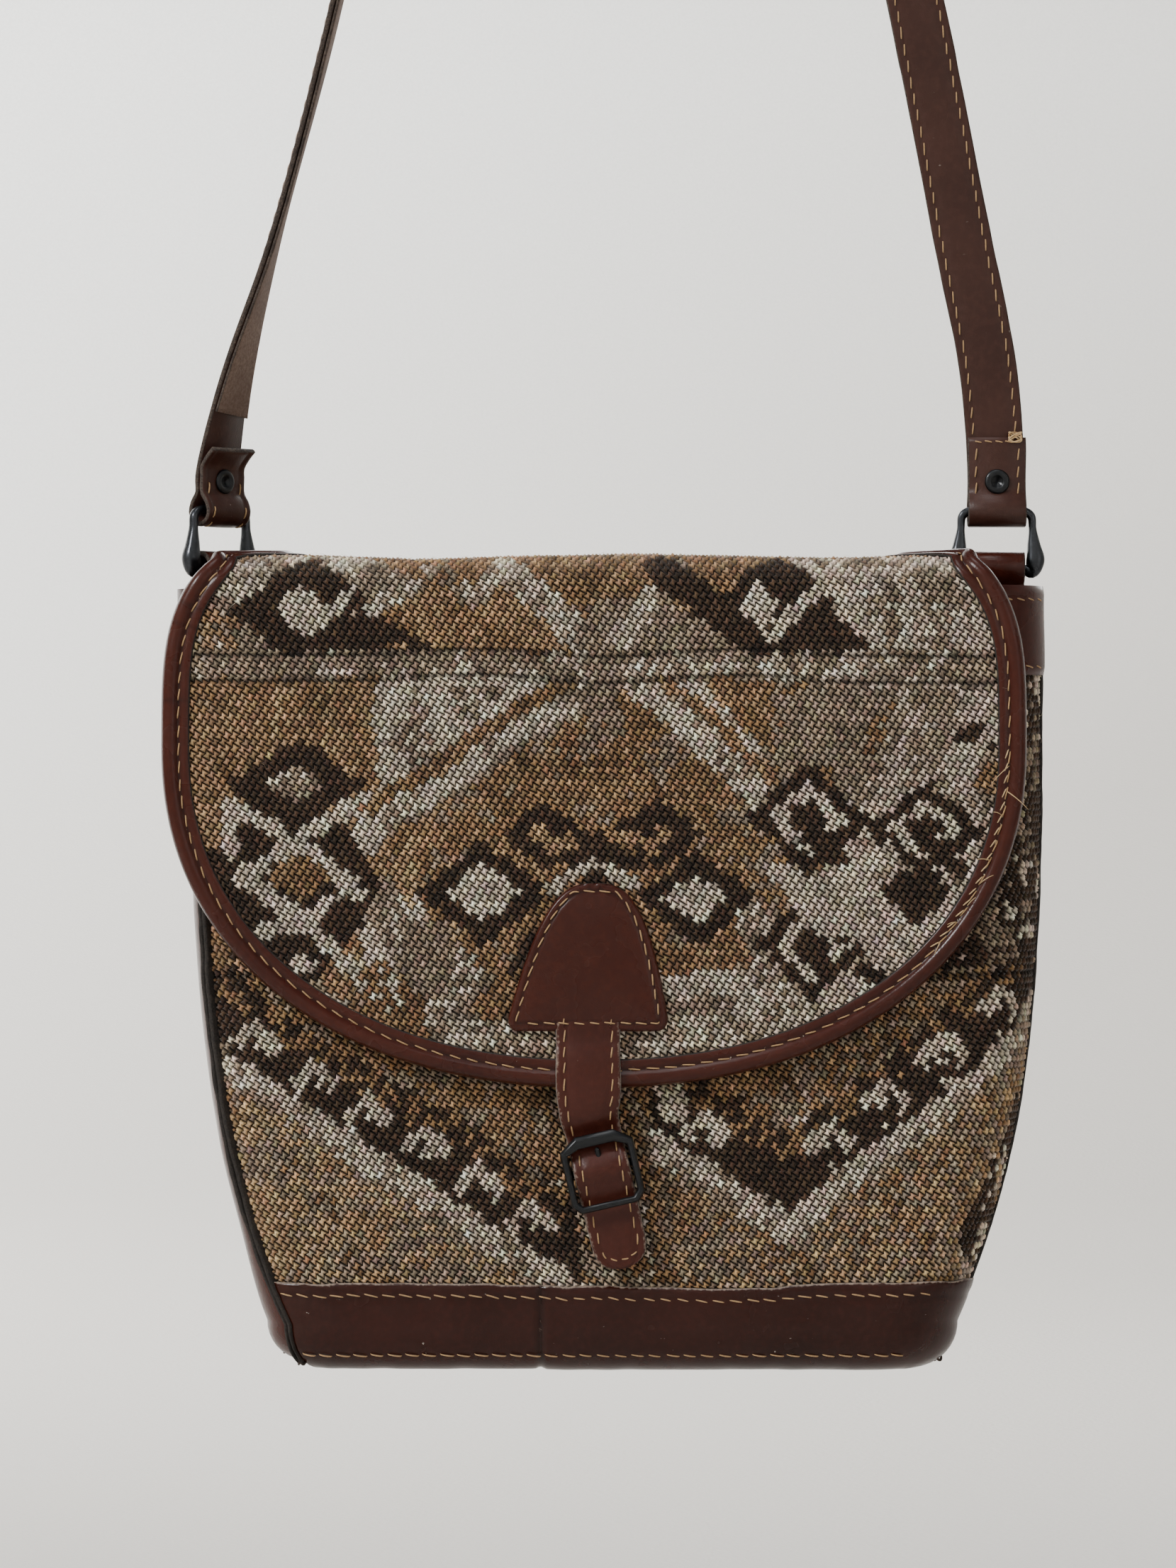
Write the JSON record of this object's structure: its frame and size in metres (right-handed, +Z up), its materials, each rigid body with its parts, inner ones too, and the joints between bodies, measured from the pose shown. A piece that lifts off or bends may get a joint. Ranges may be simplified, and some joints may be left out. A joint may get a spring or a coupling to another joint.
{
  "type": "messenger bag",
  "caption": "Hanging messenger bag with a woven wool body, a round leather-bound flap that folds open, a buckled closure strap and a shoulder strap on swinging metal rings.",
  "frame": {"origin": "inside of the shoulder strap's crown, the point that rests on a peg or hook", "axes": "+Z up, -Y out of the bag's front face, +X to the right seen from the front"},
  "size_m": [0.3058, 0.0908, 0.9203],
  "materials": {
    "woven_wool": "weft-faced wool in cream, tan and dark brown",
    "dark_leather": "glossy red-brown finished leather with rubbed edges",
    "strap_leather": "satin brown leather with stitched edges",
    "raw_leather": "unfinished flesh side",
    "edge_paint": "black painted raw edge",
    "cotton_lining": "plain cotton",
    "gunmetal": "polished gunmetal plate",
    "black_metal": "black satin"
  },
  "bodies": {
    "strap": {"shoulder_strap": "strap_leather", "strap_backing": "raw_leather", "eyelet_left": "black_metal", "eyelet_right": "black_metal"},
    "left_ring": {"ring_left": "gunmetal"},
    "right_ring": {"ring_right": "gunmetal"},
    "bag": {"ring_tab_left": "dark_leather", "ring_tab_right": "dark_leather", "front_panel": "woven_wool", "back_panel": "woven_wool", "gusset_left": "dark_leather", "gusset_right": "dark_leather", "base_wrap": "dark_leather", "front_top_band": "dark_leather", "seam_front_left": "edge_paint", "seam_front_right": "edge_paint", "seam_back_left": "edge_paint", "seam_back_right": "edge_paint", "main_lining": "cotton_lining", "flap_root": "woven_wool", "buckle_anchor": "dark_leather"},
    "flap_top": {"flap_top_cloth": "woven_wool", "flap_top_lining": "raw_leather", "flap_top_binding_left": "dark_leather", "flap_top_binding_right": "dark_leather"},
    "flap_front": {"flap_cloth": "woven_wool", "flap_lining": "raw_leather", "flap_binding": "dark_leather", "closure_patch": "dark_leather", "closure_strap": "dark_leather"},
    "buckle": {"buckle_frame": "black_metal"},
    "prong": {"buckle_prong": "black_metal"}
  },
  "joints": [
    {"name": "left_ring_swing", "type": "hinge", "parent": "strap", "child": "left_ring", "pos_m": [-0.1404, 0, -0.6227], "axis": [1, 0, 0], "range_deg": [-10, 10]},
    {"name": "right_ring_swing", "type": "hinge", "parent": "strap", "child": "right_ring", "pos_m": [0.1284, 0, -0.6227], "axis": [1, 0, 0], "range_deg": [-10, 10]},
    {"name": "bag_swing", "type": "hinge", "parent": "left_ring", "child": "bag", "pos_m": [-0.1404, 0, -0.642], "axis": [1, 0, 0], "range_deg": [-12, 12]},
    {"name": "flap_lift", "type": "hinge", "parent": "bag", "child": "flap_top", "pos_m": [-0.011, 0.03807, -0.64293], "axis": [-1, 0, 0], "range_deg": [0, 40]},
    {"name": "flap_open", "type": "hinge", "parent": "flap_top", "child": "flap_front", "pos_m": [-0.011, -0.04207, -0.64293], "axis": [-1, 0, 0], "range_deg": [0, 135], "deforming": ["closure_strap"]},
    {"name": "buckle_tilt", "type": "hinge", "parent": "bag", "child": "buckle", "pos_m": [-0.0084, -0.0425, -0.847], "axis": [0.9744, 0, 0.225], "range_deg": [-5, 5]},
    {"name": "prong_lift", "type": "hinge", "parent": "buckle", "child": "prong", "pos_m": [-0.0084, -0.0425, -0.847], "axis": [0.9744, 0, 0.225], "range_deg": [0, 70]}
  ],
  "couplings": [
    {"joint": "right_ring_swing", "follows": "left_ring_swing", "ratio": 1}
  ]
}
